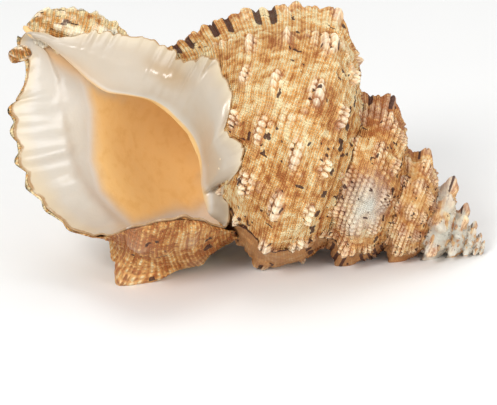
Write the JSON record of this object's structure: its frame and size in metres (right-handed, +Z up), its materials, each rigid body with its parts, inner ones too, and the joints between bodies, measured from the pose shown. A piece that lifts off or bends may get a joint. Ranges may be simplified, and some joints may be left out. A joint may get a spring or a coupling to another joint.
{
  "type": "conch shell",
  "caption": "Large coiled sea shell lying on its side, with a wide flared mouth, a tall pointed spire, rows of shoulder knobs and ribbed old lips.",
  "frame": {"origin": "bottom centre of the bounding box of the shell as it lies at rest, on the surface it lies on", "axes": "+Z up, +X towards the pointed spire, -Y out of the mouth, which also faces upwards by about 21 degrees"},
  "size_m": [0.1616, 0.0914, 0.0897],
  "materials": {
    "shell": "satin"
  },
  "bodies": {
    "root": {"conch_shell": "shell"}
  },
  "joints": []
}
